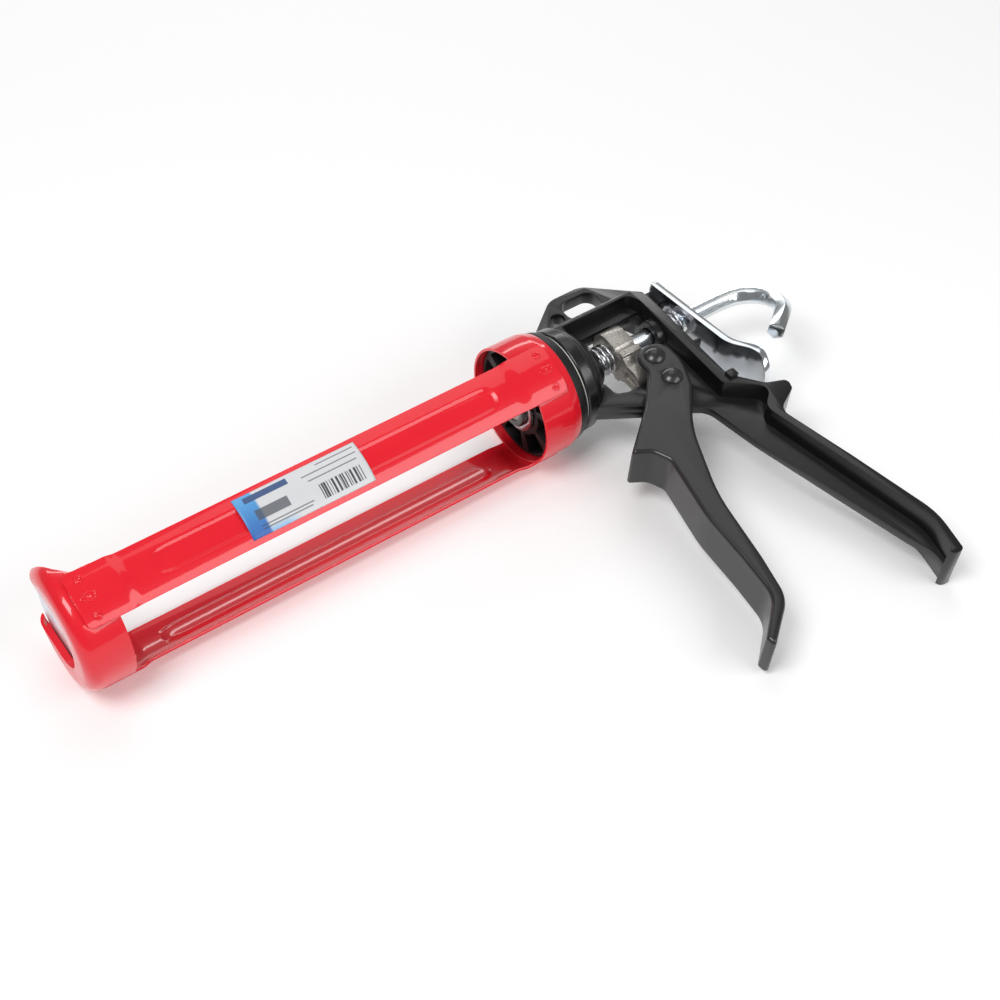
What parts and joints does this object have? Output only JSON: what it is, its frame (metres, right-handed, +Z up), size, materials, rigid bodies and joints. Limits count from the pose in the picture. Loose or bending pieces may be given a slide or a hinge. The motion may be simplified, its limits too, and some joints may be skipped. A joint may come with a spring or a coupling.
{
  "type": "caulking gun",
  "caption": "Skeleton caulking gun: open barrel with a slotted front cap turns on a cast body; a trigger pushes a hooked rod and piston through a friction grip.",
  "frame": {"origin": "on the barrel's axis, inside the wall of the front cap's nozzle slot", "axes": "+X back along the barrel and the push rod towards the hook, +Y away from the handle in the plane of the floor, +Z up from the floor on which the gun lies on its right side; the gun's own upright plane leans 5.85 degrees about X"},
  "size_m": [0.3416, 0.2001, 0.0544],
  "materials": {
    "red_barrel": "glossy",
    "label_paper": "satin",
    "black_collar": "satin",
    "bush_plastic": "satin",
    "zinc_washer": "zinc plated",
    "spring_steel": "bright",
    "black_casting": "semi-gloss",
    "zinc_rod": "zinc plated",
    "zinc_sheet": "zinc plated",
    "sintered_steel": "matt sintered",
    "black_trigger": "satin",
    "black_pin": "blackened"
  },
  "bodies": {
    "frame": {"frame_body": "black_casting", "rod_guide_bush": "bush_plastic", "spring_seat": "zinc_washer", "swivel_washer": "bush_plastic", "retaining_ring": "spring_steel", "drive_spring": "spring_steel", "release_spring": "spring_steel"},
    "barrel": {"front_cap": "red_barrel", "left_rail": "red_barrel", "right_rail": "red_barrel", "barrel_label": "label_paper", "rear_ring": "red_barrel", "swivel_collar": "black_collar"},
    "rod": {"push_rod": "zinc_rod", "rod_hook": "zinc_rod", "piston_disc": "zinc_sheet", "piston_washer": "zinc_washer", "piston_nut": "zinc_washer"},
    "gripper": {"gripper_block": "sintered_steel"},
    "trigger": {"trigger": "black_trigger", "pivot_pin": "black_pin", "drive_pin": "black_pin", "drive_sleeve": "spring_steel"},
    "release_lever": {"release_lever": "zinc_sheet"}
  },
  "joints": [
    {"name": "barrel_swivel", "type": "hinge", "parent": "frame", "child": "barrel", "pos_m": [0.218, 0, 0], "axis": [1, 0, 0], "continuous": true},
    {"name": "rod_slide", "type": "slide", "parent": "frame", "child": "rod", "axis": [1, 0, 0], "range_m": [0, 0.195]},
    {"name": "trigger_pull", "type": "hinge", "parent": "frame", "child": "trigger", "pos_m": [0.2662, -0.02925, -0.003], "axis": [0, -0.1019, 0.9948], "range_deg": [0, 25], "stiffness_Nm_per_rad": 0.8, "springref_deg": -20.05},
    {"name": "gripper_stroke", "type": "slide", "parent": "frame", "child": "gripper", "axis": [-1, 0, 0], "range_m": [0, 0.0058], "deforming": ["drive_spring"]},
    {"name": "release_press", "type": "hinge", "parent": "frame", "child": "release_lever", "pos_m": [0.2935, 0.01741, 0.00178], "axis": [0, 0.1019, -0.9948], "range_deg": [0, 6], "stiffness_Nm_per_rad": 0.6, "springref_deg": -8.59, "deforming": ["release_spring"]}
  ],
  "couplings": [
    {"joint": "gripper_stroke", "follows": "trigger_pull", "m_per_rad": 0.013}
  ]
}
